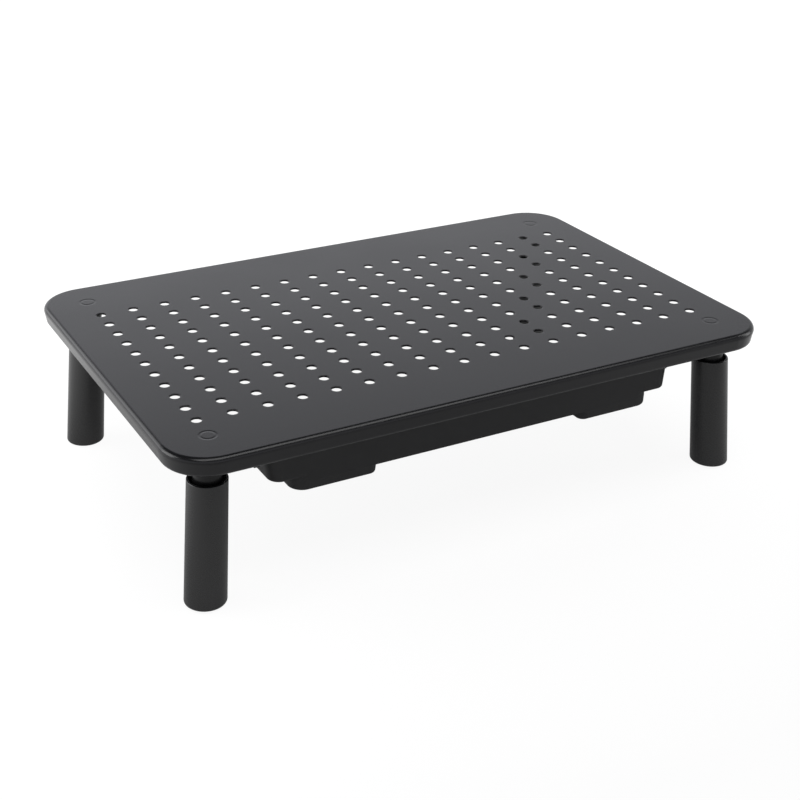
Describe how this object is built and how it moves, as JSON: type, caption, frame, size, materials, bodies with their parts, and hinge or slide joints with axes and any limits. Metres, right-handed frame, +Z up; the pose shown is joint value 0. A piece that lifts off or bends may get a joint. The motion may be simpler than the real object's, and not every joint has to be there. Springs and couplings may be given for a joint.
{
  "type": "monitor riser stand",
  "caption": "Low perforated steel platform on height-adjustable round legs, with a slim pull-out pen drawer hung under its front edge.",
  "frame": {"origin": "on the floor under the middle of the platform", "axes": "+X along the long side, to the right seen from the front; +Y to the back; +Z up"},
  "size_m": [0.374, 0.24, 0.083],
  "materials": {
    "platform_coat": "fine satin black powder coat",
    "rail_coat": "satin black powder coat",
    "leg_plastic": "satin moulded",
    "stem_plastic": "satin moulded",
    "button_plastic": "satin moulded",
    "drawer_plastic": "finely textured moulded",
    "pad_rubber": "matt",
    "zinc_steel": "zinc plated",
    "spring_steel": "bright",
    "insert_brass": "machined"
  },
  "bodies": {
    "lower_leg_front_left": {"leg_sleeve_front_left": "leg_plastic", "foot_pad_front_left": "pad_rubber"},
    "platform": {"top_plate": "platform_coat", "leg_studs": "zinc_steel", "stem_inserts": "insert_brass", "drawer_rail_left": "rail_coat", "drawer_rail_right": "rail_coat", "rail_studs": "zinc_steel", "rail_nuts": "zinc_steel", "leg_stem_front_left": "stem_plastic", "leg_stem_front_right": "stem_plastic", "leg_stem_rear_left": "stem_plastic", "leg_stem_rear_right": "stem_plastic", "button_spring_front_left": "spring_steel", "button_spring_front_right": "spring_steel", "button_spring_rear_left": "spring_steel", "button_spring_rear_right": "spring_steel"},
    "lower_leg_front_right": {"leg_sleeve_front_right": "leg_plastic", "foot_pad_front_right": "pad_rubber"},
    "lower_leg_rear_left": {"leg_sleeve_rear_left": "leg_plastic", "foot_pad_rear_left": "pad_rubber"},
    "lower_leg_rear_right": {"leg_sleeve_rear_right": "leg_plastic", "foot_pad_rear_right": "pad_rubber"},
    "button_front_left": {"lock_button_front_left": "button_plastic"},
    "button_front_right": {"lock_button_front_right": "button_plastic"},
    "button_rear_left": {"lock_button_rear_left": "button_plastic"},
    "button_rear_right": {"lock_button_rear_right": "button_plastic"},
    "drawer": {"pen_drawer": "drawer_plastic"}
  },
  "joints": [
    {"name": "platform_height", "type": "slide", "parent": "lower_leg_front_left", "child": "platform", "axis": [0, 0, 1], "range_m": [0, 0.04]},
    {"name": "leg_extension_front_right", "type": "slide", "parent": "platform", "child": "lower_leg_front_right", "axis": [0, 0, -1], "range_m": [0, 0.04]},
    {"name": "leg_extension_rear_left", "type": "slide", "parent": "platform", "child": "lower_leg_rear_left", "axis": [0, 0, -1], "range_m": [0, 0.04]},
    {"name": "leg_extension_rear_right", "type": "slide", "parent": "platform", "child": "lower_leg_rear_right", "axis": [0, 0, -1], "range_m": [0, 0.04]},
    {"name": "lock_button_travel_front_left", "type": "slide", "parent": "platform", "child": "button_front_left", "axis": [0, 1, 0], "range_m": [0, 0.003], "stiffness_N_per_m": 400, "springref_m": 0.004},
    {"name": "lock_button_travel_front_right", "type": "slide", "parent": "platform", "child": "button_front_right", "axis": [0, 1, 0], "range_m": [0, 0.003], "stiffness_N_per_m": 400, "springref_m": 0.004},
    {"name": "lock_button_travel_rear_left", "type": "slide", "parent": "platform", "child": "button_rear_left", "axis": [0, 1, 0], "range_m": [0, 0.003], "stiffness_N_per_m": 400, "springref_m": 0.004},
    {"name": "lock_button_travel_rear_right", "type": "slide", "parent": "platform", "child": "button_rear_right", "axis": [0, 1, 0], "range_m": [0, 0.003], "stiffness_N_per_m": 400, "springref_m": 0.004},
    {"name": "drawer_slide", "type": "slide", "parent": "platform", "child": "drawer", "axis": [0, -1, 0], "range_m": [0, 0.032]}
  ],
  "couplings": [
    {"joint": "leg_extension_front_right", "follows": "platform_height", "ratio": 1},
    {"joint": "leg_extension_rear_left", "follows": "platform_height", "ratio": 1},
    {"joint": "leg_extension_rear_right", "follows": "platform_height", "ratio": 1}
  ]
}
